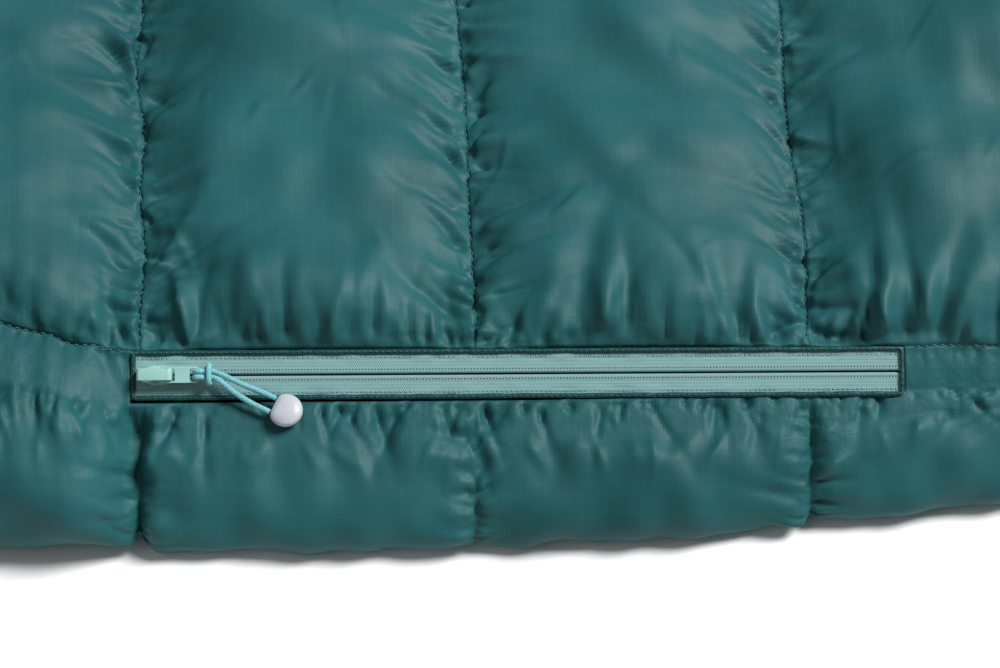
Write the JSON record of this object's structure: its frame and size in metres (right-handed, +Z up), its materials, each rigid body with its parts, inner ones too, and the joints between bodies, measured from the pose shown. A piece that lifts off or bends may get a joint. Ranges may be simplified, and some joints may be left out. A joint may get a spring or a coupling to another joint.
{
  "type": "camp quilt",
  "caption": "Box-baffled down camp quilt lying flat, with crosswise chambers and a reversed coil zip with a corded pull let into its front edge.",
  "frame": {"origin": "middle of the quilt's footprint, on the floor it lies on", "axes": "+X along the quilt, from its head end to its foot end; +Y from the edge with the zip to the far edge; +Z up"},
  "size_m": [2.0322, 1.37, 0.0745],
  "materials": {
    "shell_ripstop": "fine satin ripstop nylon, teal",
    "liner_taffeta": "plain-woven satin nylon, darker teal",
    "baffle_net": "fine open net, pale grey",
    "down": "loose down, off-white",
    "zip_tape": "woven zip tape, pale blue-green",
    "zip_coil": "nylon coil, pale blue-green",
    "zip_paint": "pale blue-green painted die casting",
    "cord": "braided cord, light aqua",
    "cord_end": "frosted translucent plastic"
  },
  "bodies": {
    "quilt": {"outer_shell": "shell_ripstop", "front_edge_panel": "shell_ripstop", "rear_edge_panel": "shell_ripstop", "inner_liner": "liner_taffeta", "head_end_panel": "shell_ripstop", "foot_end_panel": "shell_ripstop", "front_side_net": "baffle_net", "rear_side_net": "baffle_net", "baffle_net_01": "baffle_net", "baffle_net_02": "baffle_net", "baffle_net_03": "baffle_net", "baffle_net_04": "baffle_net", "baffle_net_05": "baffle_net", "baffle_net_06": "baffle_net", "baffle_net_07": "baffle_net", "baffle_net_08": "baffle_net", "baffle_net_09": "baffle_net", "baffle_net_10": "baffle_net", "baffle_net_11": "baffle_net", "baffle_net_12": "baffle_net", "baffle_net_13": "baffle_net", "down_fill_01": "down", "down_fill_02": "down", "down_fill_03": "down", "down_fill_04": "down", "down_fill_05": "down", "down_fill_06": "down", "down_fill_07": "down", "down_fill_08": "down", "down_fill_09": "down", "down_fill_10": "down", "down_fill_11": "down", "down_fill_12": "down", "down_fill_13": "down", "down_fill_14": "down", "front_edge_down": "down", "rear_edge_down": "down", "zip_border": "shell_ripstop", "zip_tape_upper": "zip_tape", "zip_tape_lower": "zip_tape", "zip_coil_upper": "zip_coil", "zip_coil_lower": "zip_coil", "zip_backing": "liner_taffeta"},
    "slider": {"zip_slider": "zip_paint"},
    "pull_tab": {"pull_tab": "zip_paint"},
    "pull": {"pull_cord": "cord", "cord_end_bead": "cord_end"}
  },
  "joints": [
    {"name": "slider", "type": "slide", "parent": "quilt", "child": "slider", "axis": [1, 0, 0], "range_m": [0, 0.3126]},
    {"name": "pull_tab", "type": "hinge", "parent": "slider", "child": "pull_tab", "pos_m": [-0.1345, -0.62709, 0.04993], "axis": [0, -0.8829, -0.4695], "range_deg": [0, 120]},
    {"name": "cord", "type": "hinge", "parent": "pull_tab", "child": "pull", "pos_m": [-0.11815, -0.62709, 0.04993], "axis": [0, -0.8829, -0.4695], "range_deg": [0, 60]}
  ]
}
